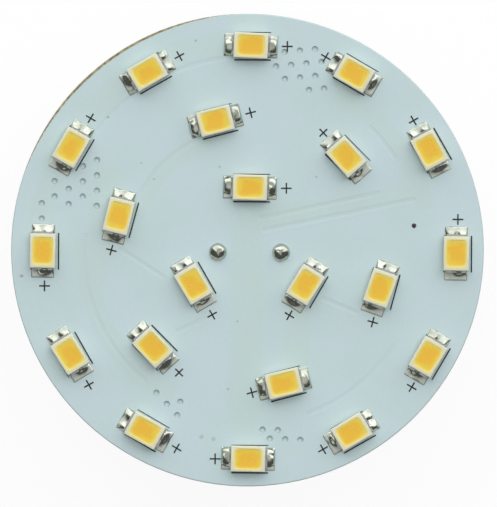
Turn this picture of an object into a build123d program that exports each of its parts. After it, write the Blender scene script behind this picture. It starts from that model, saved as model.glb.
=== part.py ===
from build123d import *
import os
from math import cos, radians, sin, sqrt

# Board: a round laminate with its back face on z = 0 and its light side up
BOARD_DIAMETER = 30.0
BOARD_THICKNESS = 1.2
BOARD_EDGE_BREAK = 0.06
# The outline was routed slightly off the centre of the board's pattern of tracks and holes
OUTLINE_SHIFT_X = -0.13
OUTLINE_SHIFT_Y = 0.13

# LED rings: the outer ring keeps its distance from the edge, the middle ring lies halfway
EDGE_TO_OUTER_RING = 1.9
INNER_RING_RADIUS = 4.1
OUTER_LED_COUNT = 12
MIDDLE_LED_COUNT = 6
INNER_LED_COUNT = 3
OUTER_START_ANGLE = 0.0
MIDDLE_START_ANGLE = 45.0
INNER_START_ANGLE = 90.0
# Degrees, counter-clockwise, by which each LED drifted from the tangent while its solder set
OUTER_LED_SKEW = (-0.7, -1.3, 0.3, -2.4, 0.6, 0.8, -0.8, 2.4, 1.5, -1.1, 1.1, -0.1)
MIDDLE_LED_SKEW = (-3.0, -0.3, 1.5, -1.6, -0.9, -4.0)
INNER_LED_SKEW = (-1.3, 1.0, -1.8)

# LED package: a white cup with a sloping reflector, filled with phosphor resin
LED_LENGTH = 2.2
LED_WIDTH = 1.64
LED_HEIGHT = 0.62
LED_END_RIM = 0.22
LED_SIDE_RIM = 0.155
LED_FLOOR = 0.22
LED_EDGE_ROUND = 0.05
WINDOW_CORNER = 0.22
REFLECTOR_SLOPE = 0.14
RESIN_RECESS = 0.03

# LED terminals: a tinned strip folded down each end and under the cup
TERMINAL_THICKNESS = 0.12
TERMINAL_WIDTH = 1.2
TERMINAL_RISE = 0.3
TERMINAL_FOOT = 0.6

# Solder at the LED terminals
LED_SOLDER_REACH = 0.49
LED_SOLDER_SIDE = 0.11
LED_SOLDER_DROP = 0.05
SOLDER_TOE = 0.05
# Share of its rise by which a fillet's slope sinks below a straight one
SOLDER_HOLLOW = 0.1

# Plug pins: a round shank with a collar under the board and a tapered tail through it
PIN_PITCH = 4.0
PIN_DIAMETER = 0.7
PIN_LENGTH = 10.0
PIN_TIP_ROUND = 0.25
PIN_COLLAR_HEIGHT = 0.4
PIN_COLLAR_LEDGE = 0.28
PIN_TAIL_DIAMETER = 0.62
PIN_TAIL_TAPER = 0.06
PIN_TAIL_PROUD = 0.26
PIN_HOLE_CLEARANCE = 0.06

# Solder dome round each pin tail, with a pit over the tail's end
DOME_LAND = 0.2
DOME_HEIGHT = 0.42
DOME_PIT_WIDTH = 0.05
# Share of the dome's height at which its side is fullest
DOME_SHOULDER = 0.62

# Resin-covered vias: shallow dimples on both faces
VIA_DIAMETER = 0.42
VIA_DEPTH = 0.12
VIA_PITCH = 0.97
VIA_ROW_STEP = 0.85
# Via fields, each named by its place: how far its first via lies inside the outer LED ring
UPPER_RIGHT_VIA_INSET = 1.2
LEFT_VIA_INSET = 1.8
LOWER_LEFT_VIA_INSET = 2.4
LOWER_RIGHT_VIA_INSET = 1.8
# Bearing of a field's first via, its inset, the bearing of its rows, then for each row its place in
# row steps, its start in pitches and its count
VIA_FIELDS = (
    (82.3, UPPER_RIGHT_VIA_INSET, 6.0, ((1, 0.65, 3), (0, 0.0, 4), (-1, 0.5, 3), (-2, 2.0, 2))),
    (149.3, LEFT_VIA_INSET, -90.0,
     ((0, 0.0, 4), (-1.05, 0.4, 3), (-2.1, 1.9, 2), (-3.15, 1.4, 2), (-4.1, 2.85, 2))),
    (236.9, LOWER_LEFT_VIA_INSET, -47.0, ((0, 0.0, 3), (0.85, 1.5, 1))),
    (274.6, LOWER_RIGHT_VIA_INSET, -2.0, ((0, 0.0, 2), (-0.65, 0.5, 3))),
)

# Driver circuit on the back: parts stand round the pins at one radius, the resistors between them
DRIVER_RADIUS = 8.5
DRIVER_SPREAD_ANGLE = 60.0
RESISTOR_OFFSET = 4.2
PACKAGE_STANDOFF = 0.1
PACKAGE_DRAFT_ANGLE = 7.0
DRIVER_SOLDER_SIDE = 0.12

# Bridge rectifier with four bent leads
BRIDGE_LENGTH = 4.7
BRIDGE_WIDTH = 3.9
BRIDGE_HEIGHT = 2.3
BRIDGE_LEAD_LEVEL = 1.0
BRIDGE_LEAD_SPACING = 2.54
BRIDGE_LEAD_WIDTH = 0.65
BRIDGE_LEAD_THICKNESS = 0.22
BRIDGE_LEAD_SHOULDER = 0.6
BRIDGE_LEAD_FOOT = 0.7
BRIDGE_LEAD_BEND = 0.18
BRIDGE_SOLDER_REACH = 0.35

# Driver chip with flat leads along both sides
CHIP_LENGTH = 4.5
CHIP_WIDTH = 2.5
CHIP_HEIGHT = 1.5
CHIP_LEAD_PITCH = 1.5
CHIP_LEAD_WIDTH = 0.46
CHIP_LEAD_THICKNESS = 0.38
CHIP_LEAD_REACH = 0.85
CHIP_SOLDER_REACH = 0.35

# Flyback diode with terminals folded under its ends
DIODE_LENGTH = 4.3
DIODE_WIDTH = 2.6
DIODE_HEIGHT = 2.1
DIODE_TERMINAL_LEVEL = 1.1
DIODE_TERMINAL_WIDTH = 1.5
DIODE_TERMINAL_THICKNESS = 0.2
DIODE_TERMINAL_FOOT = 1.1
DIODE_SOLDER_REACH = 0.5
DIODE_SOLDER_DROP = 0.35

# Drum inductor: a ferrite bobbin wound with enamelled wire, on two metal terminals
INDUCTOR_BASE_DIAMETER = 4.2
INDUCTOR_TOP_DIAMETER = 3.9
INDUCTOR_POST_DIAMETER = 2.0
INDUCTOR_BASE_HEIGHT = 0.6
INDUCTOR_TOP_HEIGHT = 0.5
INDUCTOR_WIRE = 0.22
INDUCTOR_TURNS = 5
INDUCTOR_LAYERS = 3
INDUCTOR_FLANGE_ROUND = 0.12
INDUCTOR_TERMINAL_THICKNESS = 0.12
INDUCTOR_TERMINAL_WIDTH = 1.3
INDUCTOR_SOLDER_REACH = 0.4
INDUCTOR_SOLDER_WIDTH = 1.6

# Chip capacitors and current-sense resistors: a ceramic body with a metal cap on each end
CAPACITOR_LENGTH = 3.2
CAPACITOR_WIDTH = 2.5
INPUT_CAPACITOR_HEIGHT = 1.9
OUTPUT_CAPACITOR_HEIGHT = 1.5
CAPACITOR_CAP_LENGTH = 0.55
RESISTOR_LENGTH = 2.0
RESISTOR_WIDTH = 1.25
RESISTOR_HEIGHT = 0.55
RESISTOR_CAP_LENGTH = 0.4
END_CAP_WALL = 0.04
CHIP_PART_SOLDER_REACH = 0.4
CHIP_PART_SOLDER_SHARE = 0.7

# Largest share of a width that a rounded corner may take
ROUND_LIMIT = 0.45

OUTER_RING_RADIUS = BOARD_DIAMETER / 2 - EDGE_TO_OUTER_RING
MIDDLE_RING_RADIUS = (OUTER_RING_RADIUS + INNER_RING_RADIUS) / 2
PIN_HOLE_DIAMETER = PIN_TAIL_DIAMETER + 2 * PIN_HOLE_CLEARANCE
PIN_X = PIN_PITCH / 2
ON_FACE = (Align.CENTER, Align.CENTER, Align.MIN)
FROM_END = (Align.MIN, Align.CENTER, Align.MIN)


def polar(radius, bearing):
    """X and Y of a point at a radius and a bearing from the board's axis."""
    return radius * cos(radians(bearing)), radius * sin(radians(bearing))


def via_points():
    """Centres of all vias, row by row in each field."""
    points = []
    for bearing, inset, row_bearing, rows in VIA_FIELDS:
        x0, y0 = polar(OUTER_RING_RADIUS - inset, bearing)
        for row, start, count in rows:
            for step in range(count):
                along_x, along_y = polar((start + step) * VIA_PITCH, row_bearing)
                across_x, across_y = polar(row * VIA_ROW_STEP, row_bearing + 90)
                points.append((x0 + along_x + across_x, y0 + along_y + across_y))
    return points


def make_board():
    """Round board with two pin holes and the via dimples."""
    disc = Cylinder(BOARD_DIAMETER / 2, BOARD_THICKNESS, align=ON_FACE)
    board = Pos(OUTLINE_SHIFT_X, OUTLINE_SHIFT_Y, 0) * disc
    board = chamfer(board.edges().filter_by(GeomType.CIRCLE), BOARD_EDGE_BREAK)
    for side in (-1, 1):
        board -= Pos(side * PIN_X, 0, 0) * Cylinder(PIN_HOLE_DIAMETER / 2, BOARD_THICKNESS, align=ON_FACE)
    ball_radius = ((VIA_DIAMETER / 2) ** 2 + VIA_DEPTH**2) / (2 * VIA_DEPTH)
    ball_lift = ball_radius - VIA_DEPTH
    dimples = []
    for x, y in via_points():
        dimples.append(Pos(x, y, BOARD_THICKNESS + ball_lift) * Sphere(ball_radius))
        dimples.append(Pos(x, y, -ball_lift) * Sphere(ball_radius))
    return board - dimples


def reflector_section(height):
    """Rounded outline of the reflector at a height above the cup's floor."""
    depth = LED_HEIGHT - LED_FLOOR
    inset = REFLECTOR_SLOPE * (1 - height / depth)
    length = LED_LENGTH - 2 * (LED_END_RIM + inset)
    width = LED_WIDTH - 2 * (LED_SIDE_RIM + inset)
    corner = min(WINDOW_CORNER - inset / 2, ROUND_LIMIT * width)
    return Pos(0, 0, LED_FLOOR + height) * RectangleRounded(length, width, corner)


def make_led_cup():
    """White cup, standing on z = 0, with its sloping reflector cut in."""
    cup = Box(LED_LENGTH, LED_WIDTH, LED_HEIGHT, align=ON_FACE)
    cup = fillet(cup.edges().filter_by(Axis.Z) + cup.faces().sort_by(Axis.Z)[-1].edges(), LED_EDGE_ROUND)
    return cup - loft([reflector_section(0), reflector_section(LED_HEIGHT - LED_FLOOR)])


def make_led_resin():
    """Phosphor resin that fills the reflector to just below its rim."""
    return loft([reflector_section(0), reflector_section(LED_HEIGHT - LED_FLOOR - RESIN_RECESS)])


def folded_terminal(end, width, rise, foot, thickness):
    """Strip that stands against an end face at x = end and folds inward under the body."""
    upright = Pos(end, 0, 0) * Box(thickness, width, rise, align=FROM_END)
    sole = Pos(end - foot, 0, 0) * Box(foot, width, thickness, align=FROM_END)
    strip = upright + sole
    outer_corner = strip.edges().filter_by(Axis.Y).group_by(Axis.Z)[0].sort_by(Axis.X)[-1]
    return fillet(outer_corner, thickness / 2)


def solder_fillet(reach, width, rise, toe):
    """Solder that climbs a face on x = 0 and runs out along +X, lower towards its sides."""
    middle = toe + (0.5 - SOLDER_HOLLOW) * (rise - toe)
    run_out = make_face(
        [
            Line((0, 0), (reach, 0)),
            Line((reach, 0), (reach, toe)),
            ThreePointArc((reach, toe), (reach / 2, middle), (0, rise)),
            Line((0, rise), (0, 0)),
        ]
    )
    across = make_face(
        [
            Line((-width / 2, 0), (width / 2, 0)),
            Line((width / 2, 0), (width / 2, toe)),
            ThreePointArc((width / 2, toe), (0, rise), (-width / 2, toe)),
            Line((-width / 2, toe), (-width / 2, 0)),
        ]
    )
    return extrude(Plane.XZ * run_out, width / 2, both=True) & extrude(Plane.YZ * across, reach)


def both_ends(solid):
    """A solid and its copy turned half round the Z axis."""
    return [solid, Rot(0, 0, 180) * solid]


def led_places():
    """Name, place and turn of every LED, ring by ring, with local X along the tangent."""
    rings = (
        ("outer", OUTER_RING_RADIUS, OUTER_LED_COUNT, OUTER_START_ANGLE, OUTER_LED_SKEW),
        ("middle", MIDDLE_RING_RADIUS, MIDDLE_LED_COUNT, MIDDLE_START_ANGLE, MIDDLE_LED_SKEW),
        ("inner", INNER_RING_RADIUS, INNER_LED_COUNT, INNER_START_ANGLE, INNER_LED_SKEW),
    )
    places = []
    for ring, radius, count, start, skews in rings:
        for index in range(count):
            bearing = start + index * 360 / count
            x, y = polar(radius, bearing)
            turn = bearing + 90 + skews[index % len(skews)]
            places.append((f"led_{ring}_{index + 1:02d}", Pos(x, y, BOARD_THICKNESS) * Rot(0, 0, turn)))
    return places


def make_leds():
    """Every LED's cup and resin in nodes of their own, with its terminals and solder in two groups."""
    cup = Pos(0, 0, TERMINAL_THICKNESS) * make_led_cup()
    resin = Pos(0, 0, TERMINAL_THICKNESS) * make_led_resin()
    end = LED_LENGTH / 2
    terminal = folded_terminal(end, TERMINAL_WIDTH, TERMINAL_RISE, TERMINAL_FOOT, TERMINAL_THICKNESS)
    solder_width = TERMINAL_WIDTH + 2 * LED_SOLDER_SIDE
    bead = solder_fillet(LED_SOLDER_REACH, solder_width, TERMINAL_RISE - LED_SOLDER_DROP, SOLDER_TOE)
    bead = Pos(end + TERMINAL_THICKNESS, 0, 0) * bead - terminal
    nodes = {}
    terminals = []
    beads = []
    for name, place in led_places():
        nodes[f"{name}_cup"] = place * cup
        nodes[f"{name}_phosphor"] = place * resin
        terminals += [place * piece for piece in both_ends(terminal)]
        beads += [place * piece for piece in both_ends(bead)]
    nodes["led_terminals"] = Compound(terminals)
    nodes["led_solder"] = Compound(beads)
    return nodes


def tail_radius(height):
    """Radius of the tapered pin tail at a height above the board's back face."""
    tail_length = BOARD_THICKNESS + PIN_TAIL_PROUD
    return (PIN_TAIL_DIAMETER - PIN_TAIL_TAPER * height / tail_length) / 2


def make_pin():
    """Plug pin on the Z axis, turned from one rod."""
    shank_radius = PIN_DIAMETER / 2
    collar_radius = PIN_HOLE_DIAMETER / 2 + PIN_COLLAR_LEDGE
    tail_top = BOARD_THICKNESS + PIN_TAIL_PROUD
    outline = Polyline(
        (0, -PIN_LENGTH),
        (shank_radius, -PIN_LENGTH),
        (shank_radius, -PIN_COLLAR_HEIGHT),
        (collar_radius, -PIN_COLLAR_HEIGHT),
        (collar_radius, 0),
        (tail_radius(0), 0),
        (tail_radius(tail_top), tail_top),
        (0, tail_top),
        close=True,
    )
    pin = revolve(Plane.XZ * make_face(outline), Axis.Z)
    tip_edge = pin.edges().filter_by(GeomType.CIRCLE).sort_by(Axis.Z)[0]
    return fillet(tip_edge, min(PIN_TIP_ROUND, ROUND_LIMIT * PIN_DIAMETER))


def make_pin_dome():
    """Solder dome that stands on the board round the pin tail and rises past the tail's end."""
    base = BOARD_THICKNESS
    tail_top = base + PIN_TAIL_PROUD
    top = base + DOME_HEIGHT
    outer_radius = PIN_HOLE_DIAMETER / 2 + DOME_LAND
    inner_radius = tail_radius(tail_top)
    rim_radius = inner_radius + DOME_PIT_WIDTH
    bulge = ((outer_radius + rim_radius) / 2 + DOME_PIT_WIDTH, base + DOME_SHOULDER * DOME_HEIGHT)
    outline = [
        Line((tail_radius(base), base), (outer_radius, base)),
        ThreePointArc((outer_radius, base), bulge, (rim_radius, top)),
        Line((rim_radius, top), (inner_radius, tail_top)),
        Line((inner_radius, tail_top), (tail_radius(base), base)),
    ]
    return revolve(Plane.XZ * make_face(outline), Axis.Z)


def make_pins():
    """The two plug pins and their solder domes."""
    pin = make_pin()
    dome = make_pin_dome()
    left = Pos(-PIN_X, 0, 0)
    right = Pos(PIN_X, 0, 0)
    return {
        "pin_left": left * pin,
        "pin_right": right * pin,
        "pin_solder": Compound([left * dome, right * dome]),
    }


def moulded_body(length, width, height, floor, lead_level, lead_thickness):
    """Moulded package between floor and height, with drafted sides and an upright band for its leads."""
    band_low = max(floor, lead_level - lead_thickness / 2)
    band_high = lead_level + lead_thickness / 2
    section = Rectangle(length, width)
    body = Pos(0, 0, band_low) * extrude(section, band_high - band_low)
    body += Pos(0, 0, band_high) * extrude(section, height - band_high, taper=PACKAGE_DRAFT_ANGLE)
    if band_low > floor:
        body += Pos(0, 0, band_low) * extrude(section, floor - band_low, taper=PACKAGE_DRAFT_ANGLE)
    return body


def bent_lead(start):
    """Bridge lead that leaves the body at x = start, drops to the board and turns out along it."""
    thickness = BRIDGE_LEAD_THICKNESS
    low = BRIDGE_LEAD_LEVEL - thickness / 2
    high = BRIDGE_LEAD_LEVEL + thickness / 2
    web = start + BRIDGE_LEAD_SHOULDER
    toe = web + BRIDGE_LEAD_FOOT
    outline = Polyline(
        (start, low),
        (start, high),
        (web, high),
        (web, thickness),
        (toe, thickness),
        (toe, 0),
        (web - thickness, 0),
        (web - thickness, low),
        close=True,
    )
    lead = extrude(Plane.XZ * make_face(outline), BRIDGE_LEAD_WIDTH / 2, both=True)
    bends = [e for e in lead.edges().filter_by(Axis.Y) if is_outer_bend(e.center(), web, high)]
    return fillet(bends, min(BRIDGE_LEAD_BEND, 2 * ROUND_LIMIT * thickness))


def is_outer_bend(point, web, high):
    """True at the two outer corners of a bent lead's upright web."""
    at_top = abs(point.X - web) + abs(point.Z - high) < BRIDGE_LEAD_THICKNESS / 4
    at_foot = abs(point.X - web + BRIDGE_LEAD_THICKNESS) + abs(point.Z) < BRIDGE_LEAD_THICKNESS / 4
    return at_top or at_foot


def on_back(x, y, turn=0):
    """Place on the board's back face: local Z points away from the board."""
    return Pos(x, y, 0) * Rot(0, 0, turn) * Rot(180, 0, 0)


def make_bridge():
    """Body, leads and solder of the bridge rectifier."""
    body = moulded_body(
        BRIDGE_WIDTH, BRIDGE_LENGTH, BRIDGE_HEIGHT, PACKAGE_STANDOFF, BRIDGE_LEAD_LEVEL, BRIDGE_LEAD_THICKNESS
    )
    start = BRIDGE_WIDTH / 2
    toe = start + BRIDGE_LEAD_SHOULDER + BRIDGE_LEAD_FOOT
    width = BRIDGE_LEAD_WIDTH + 2 * DRIVER_SOLDER_SIDE
    bead = Pos(toe, 0, 0) * solder_fillet(BRIDGE_SOLDER_REACH, width, BRIDGE_LEAD_THICKNESS, SOLDER_TOE)
    leads = []
    solder = []
    for side in (-1, 1):
        shift = Pos(0, side * BRIDGE_LEAD_SPACING / 2, 0)
        leads += both_ends(shift * bent_lead(start))
        solder += both_ends(shift * bead)
    return body, leads, solder


def make_chip():
    """Body, leads and solder of the driver chip: three leads on one side, two on the other."""
    level = CHIP_LEAD_THICKNESS / 2
    body = moulded_body(CHIP_WIDTH, CHIP_LENGTH, CHIP_HEIGHT, 0, level, CHIP_LEAD_THICKNESS)
    start = CHIP_WIDTH / 2
    lead = Pos(start, 0, 0) * Box(CHIP_LEAD_REACH, CHIP_LEAD_WIDTH, CHIP_LEAD_THICKNESS, align=FROM_END)
    width = CHIP_LEAD_WIDTH + 2 * DRIVER_SOLDER_SIDE
    bead = solder_fillet(CHIP_SOLDER_REACH, width, CHIP_LEAD_THICKNESS, SOLDER_TOE)
    bead = Pos(start + CHIP_LEAD_REACH, 0, 0) * bead
    seats = [(0, row * CHIP_LEAD_PITCH) for row in (-1, 0, 1)]
    seats += [(180, row * CHIP_LEAD_PITCH) for row in (-1, 1)]
    leads = [Rot(0, 0, turn) * Pos(0, offset, 0) * lead for turn, offset in seats]
    solder = [Rot(0, 0, turn) * Pos(0, offset, 0) * bead for turn, offset in seats]
    return body, leads, solder


def make_diode():
    """Body, terminals and solder of the flyback diode."""
    thickness = DIODE_TERMINAL_THICKNESS
    level = DIODE_TERMINAL_LEVEL - thickness / 2
    body = moulded_body(DIODE_LENGTH, DIODE_WIDTH, DIODE_HEIGHT, thickness, level, thickness)
    end = DIODE_LENGTH / 2
    terminal = folded_terminal(
        end, DIODE_TERMINAL_WIDTH, DIODE_TERMINAL_LEVEL, DIODE_TERMINAL_FOOT, thickness
    )
    width = DIODE_TERMINAL_WIDTH + 2 * DRIVER_SOLDER_SIDE
    rise = DIODE_TERMINAL_LEVEL - DIODE_SOLDER_DROP
    bead = Pos(end + thickness, 0, 0) * solder_fillet(DIODE_SOLDER_REACH, width, rise, SOLDER_TOE)
    return body - both_ends(terminal), both_ends(terminal), both_ends(bead - terminal)


def inductor_window():
    """Height of the winding window: one layer of turns, wire against wire."""
    return INDUCTOR_TURNS * INDUCTOR_WIRE


def make_inductor_core():
    """Ferrite bobbin standing on z = 0, with rounded flange edges."""
    top_level = INDUCTOR_BASE_HEIGHT + inductor_window()
    core = Cylinder(INDUCTOR_BASE_DIAMETER / 2, INDUCTOR_BASE_HEIGHT, align=ON_FACE)
    core += Cylinder(INDUCTOR_POST_DIAMETER / 2, top_level + INDUCTOR_TOP_HEIGHT, align=ON_FACE)
    core += Pos(0, 0, top_level) * Cylinder(INDUCTOR_TOP_DIAMETER / 2, INDUCTOR_TOP_HEIGHT, align=ON_FACE)
    top_edge = core.edges().filter_by(GeomType.CIRCLE).group_by(Axis.Z)[-1]
    return fillet(top_edge, INDUCTOR_FLANGE_ROUND)


def make_inductor_winding():
    """Winding on the post, in one solid, with a ridge for every turn of its outer layer."""
    inner = INDUCTOR_POST_DIAMETER / 2
    valley = inner + (INDUCTOR_LAYERS - 0.5) * INDUCTOR_WIRE
    crest = valley + INDUCTOR_WIRE / 2
    low = INDUCTOR_BASE_HEIGHT
    high = low + inductor_window()
    outline = [Line((valley, high), (inner, high)), Line((inner, high), (inner, low))]
    outline.append(Line((inner, low), (valley, low)))
    for turn in range(INDUCTOR_TURNS):
        start = low + turn * INDUCTOR_WIRE
        middle = start + INDUCTOR_WIRE / 2
        outline.append(ThreePointArc((valley, start), (crest, middle), (valley, start + INDUCTOR_WIRE)))
    return revolve(Plane.XZ * make_face(outline), Axis.Z)


def make_inductor():
    """Core, winding, terminals and solder of the inductor."""
    lift = Pos(0, 0, INDUCTOR_TERMINAL_THICKNESS)
    radius = INDUCTOR_BASE_DIAMETER / 2
    plate = Cylinder(radius, INDUCTOR_TERMINAL_THICKNESS, align=ON_FACE)
    strip = Box(radius, 2 * radius, INDUCTOR_TERMINAL_THICKNESS, align=FROM_END)
    terminal = plate & Pos(radius - INDUCTOR_TERMINAL_WIDTH, 0, 0) * strip
    rise = INDUCTOR_TERMINAL_THICKNESS + INDUCTOR_BASE_HEIGHT / 2
    start = sqrt(radius**2 - (INDUCTOR_SOLDER_WIDTH / 2) ** 2)
    reach = radius + INDUCTOR_SOLDER_REACH - start
    bead = Pos(start, 0, 0) * solder_fillet(reach, INDUCTOR_SOLDER_WIDTH, rise, SOLDER_TOE)
    bead -= Cylinder(radius, INDUCTOR_TERMINAL_THICKNESS + INDUCTOR_BASE_HEIGHT, align=ON_FACE)
    return lift * make_inductor_core(), lift * make_inductor_winding(), both_ends(terminal), both_ends(bead)


def make_chip_part(length, width, height, cap_length):
    """Ceramic body, end caps and solder of a chip capacitor or resistor lying along X."""
    wall = END_CAP_WALL
    body = Pos(0, 0, wall) * Box(length - 2 * wall, width - 2 * wall, height - 2 * wall, align=ON_FACE)
    cap = Pos(length / 2 - cap_length, 0, 0) * Box(cap_length, width, height, align=FROM_END) - body
    rise = CHIP_PART_SOLDER_SHARE * height
    bead = Pos(length / 2, 0, 0) * solder_fillet(CHIP_PART_SOLDER_REACH, width, rise, SOLDER_TOE)
    return body, both_ends(cap), both_ends(bead)


def make_driver():
    """Every part of the driver circuit, placed on the board's back face."""
    bridge_seat = on_back(*polar(DRIVER_RADIUS, 180))
    chip_seat = on_back(*polar(DRIVER_RADIUS, 0))
    inductor_seat = on_back(*polar(DRIVER_RADIUS, DRIVER_SPREAD_ANGLE))
    diode_seat = on_back(*polar(DRIVER_RADIUS, 180 - DRIVER_SPREAD_ANGLE))
    input_seat = on_back(*polar(DRIVER_RADIUS, 180 + DRIVER_SPREAD_ANGLE))
    output_seat = on_back(*polar(DRIVER_RADIUS, -DRIVER_SPREAD_ANGLE))
    resistor_seats = [on_back(0, side * RESISTOR_OFFSET, 90) for side in (-1, 1)]

    bridge, bridge_leads, bridge_solder = make_bridge()
    chip, chip_leads, chip_solder = make_chip()
    diode, diode_leads, diode_solder = make_diode()
    core, winding, core_terminals, core_solder = make_inductor()
    input_body, input_caps, input_solder = make_chip_part(
        CAPACITOR_LENGTH, CAPACITOR_WIDTH, INPUT_CAPACITOR_HEIGHT, CAPACITOR_CAP_LENGTH
    )
    output_body, output_caps, output_solder = make_chip_part(
        CAPACITOR_LENGTH, CAPACITOR_WIDTH, OUTPUT_CAPACITOR_HEIGHT, CAPACITOR_CAP_LENGTH
    )
    resistor, resistor_caps, resistor_solder = make_chip_part(
        RESISTOR_LENGTH, RESISTOR_WIDTH, RESISTOR_HEIGHT, RESISTOR_CAP_LENGTH
    )

    leads = ((bridge_seat, bridge_leads), (chip_seat, chip_leads), (diode_seat, diode_leads))
    end_caps = [(input_seat, input_caps), (output_seat, output_caps)]
    end_caps += [(seat, resistor_caps) for seat in resistor_seats]
    solder = [(bridge_seat, bridge_solder), (chip_seat, chip_solder), (diode_seat, diode_solder)]
    solder += [(inductor_seat, core_solder), (input_seat, input_solder), (output_seat, output_solder)]
    solder += [(seat, resistor_solder) for seat in resistor_seats]
    return {
        "bridge_rectifier": bridge_seat * bridge,
        "driver_chip": chip_seat * chip,
        "flyback_diode": diode_seat * diode,
        "driver_leads": group(leads),
        "inductor_core": inductor_seat * core,
        "inductor_winding": inductor_seat * winding,
        "inductor_terminals": group([(inductor_seat, core_terminals)]),
        "input_capacitor": input_seat * input_body,
        "output_capacitor": output_seat * output_body,
        "sense_resistors": group([(seat, [resistor]) for seat in resistor_seats]),
        "chip_end_caps": group(end_caps),
        "driver_solder": group(solder),
    }


def group(placed):
    """One node of separate solids, from pairs of a place and the solids at it."""
    return Compound([seat * solid for seat, solids in placed for solid in solids])


def main():
    os.makedirs("parts", exist_ok=True)
    nodes = {"board": make_board(), **make_leds(), **make_pins(), **make_driver()}
    for name, shape in nodes.items():
        export_step(shape, os.path.join("parts", f"{name}.step"))


main()
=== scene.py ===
"""Looks of the LED disc lamp: solder mask, LEDs, solder joints, print, driver parts and the photo stage.

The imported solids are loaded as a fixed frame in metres. Pieces whose look needs more than the solids give
(LED cups, phosphor, solder, print) are modelled here in the same places; the other solids get finishes.
"""

import math
import random

import bmesh
import bpy
from bpy.props import FloatProperty, FloatVectorProperty, IntProperty, PointerProperty
from mathutils import Matrix, Vector


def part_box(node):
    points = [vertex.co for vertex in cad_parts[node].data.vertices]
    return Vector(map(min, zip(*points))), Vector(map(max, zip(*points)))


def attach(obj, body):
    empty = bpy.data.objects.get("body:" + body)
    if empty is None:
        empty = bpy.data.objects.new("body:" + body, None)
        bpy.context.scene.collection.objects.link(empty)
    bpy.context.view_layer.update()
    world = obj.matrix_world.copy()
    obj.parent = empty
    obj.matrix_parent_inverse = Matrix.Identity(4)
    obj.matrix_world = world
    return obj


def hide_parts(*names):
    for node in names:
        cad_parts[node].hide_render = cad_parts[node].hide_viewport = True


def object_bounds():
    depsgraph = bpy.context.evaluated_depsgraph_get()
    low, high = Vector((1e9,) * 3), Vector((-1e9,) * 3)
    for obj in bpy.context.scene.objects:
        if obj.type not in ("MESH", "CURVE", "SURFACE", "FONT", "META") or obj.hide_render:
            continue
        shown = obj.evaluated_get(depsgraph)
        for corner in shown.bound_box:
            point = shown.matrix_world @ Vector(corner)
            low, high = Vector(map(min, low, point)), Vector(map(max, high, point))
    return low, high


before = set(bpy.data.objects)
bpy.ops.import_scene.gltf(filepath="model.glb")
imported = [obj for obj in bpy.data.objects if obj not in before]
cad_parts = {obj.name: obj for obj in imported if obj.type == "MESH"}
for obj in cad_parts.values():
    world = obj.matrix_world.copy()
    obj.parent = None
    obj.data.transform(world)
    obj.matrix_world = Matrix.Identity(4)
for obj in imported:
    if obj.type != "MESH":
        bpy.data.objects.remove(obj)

CAD_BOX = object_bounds()

bl_info = {
    "name": "LED disc lamp",
    "version": (1, 0, 0),
    "blender": (4, 5, 0),
    "location": "View3D > Sidebar > Disc lamp",
    "description": "Dresses the packed LED disc lamp and sets its photo stage",
    "category": "Object",
}

MM = 0.001
BODY = "root"
ORIGIN = (0.0, 0.0, 0.0)
UP = Vector((0.0, 0.0, 1.0))
# Points this near to one level count as lying on it.
SAME_LEVEL = 0.001 * MM

# For each ring of LEDs, counted anticlockwise: which way along the ring the plus mark lies.
PLUS_SIDES = {
    "outer": "+++---+++---",
    "middle": "+-++--",
    "inner": "-+-",
}
# The side of the LEDs, across the board, on which the side lines are printed thin. The full width of the
# lines on the other side is partly painted shade beside the LEDs.
FAINT_SIDE = Vector((-1.0, 1.0, 0.0))

# The size of a cup's top for that of its foot, and how far the window's cutter stands out of it.
CUP_DRAFT = (0.985, 0.98, 1.0)
CUTTER_RISE = 0.2 * MM
# Steps of the resin's top inwards from the window's edge: distance in millimetres, and share of the dip.
RESIN_STEPS = ((0.05, 0.3), (0.14, 0.35), (0.3, 0.25), (0.5, 0.1))

# How an LED's solder joint is heaped. Ranges are drawn from anew for each joint. Places are shares of the
# pad's reach and width, heights are shares of the rise, and sizes are shares of the spread.
FILM_GRID = {"x_subdivisions": 8, "y_subdivisions": 14}
# Full joints have two mounds, this much narrower along the LED's end than away from it.
TWO_MOUNDS_FROM = 0.7
PAIR_SIDES = (-0.26, 0.26)
PAIR_WANDER = (-0.06, 0.06)
PAIR_SIZE = (0.76, 0.98)
PAIR_RISE = (0.75, 1.0)
PAIR_BREADTH = 0.71
# Lean joints have one mound, this much broader along the LED's end.
LEAN_UNTIL = 0.3
LEAN_SIZE = (0.56, 0.74)
LEAN_ALONG = (-0.12, 0.12)
LEAN_ACROSS = (0.0, 0.15)
LEAN_BREADTH = 1.5
# Joints between these have one round mound, larger and farther from the LED the fuller the joint is.
ROUND_LEAST = 0.6
ROUND_SIZE = (0.92, 1.1)
ROUND_ACROSS = 0.12
ROUND_FULLER = 0.35
ROUND_WANDER = (-0.06, 0.1)
ROUND_ALONG = (-0.1, 0.1)
ROUND_RISE = (0.8, 1.0)
# Small lumps and dents on every joint.
LUMPS = 4
LUMP_ACROSS = (0.1, 0.8)
LUMP_ALONG = (-0.4, 0.4)
LUMP_RISE = (-0.26, 0.26)
LUMP_SIZE = (0.22, 0.36)
# Where a joint's outer edges begin, how much of their height they keep, and how far the film falls there.
EDGE_ACROSS = 0.99
EDGE_ALONG = 0.49
EDGE_HEIGHT = 0.25
EDGE_DROP = 0.55

# The solder domes on the pins: their mesh, its lowest points that may be uneven, and their own seeds.
DOME_MESH = {"segments": 12, "ring_count": 8}
DOME_FOOT = 0.01 * MM
DOME_SEED = 100

# The corners of a printed line, for its width.
LINE_CORNER = 0.45

# How far a face looks up to belong to the board's front, and up or down to belong to either side of it.
FRONT_FACES = (0.5, 0.9)
LEVEL_FACES = (0.3, 0.6)
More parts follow.
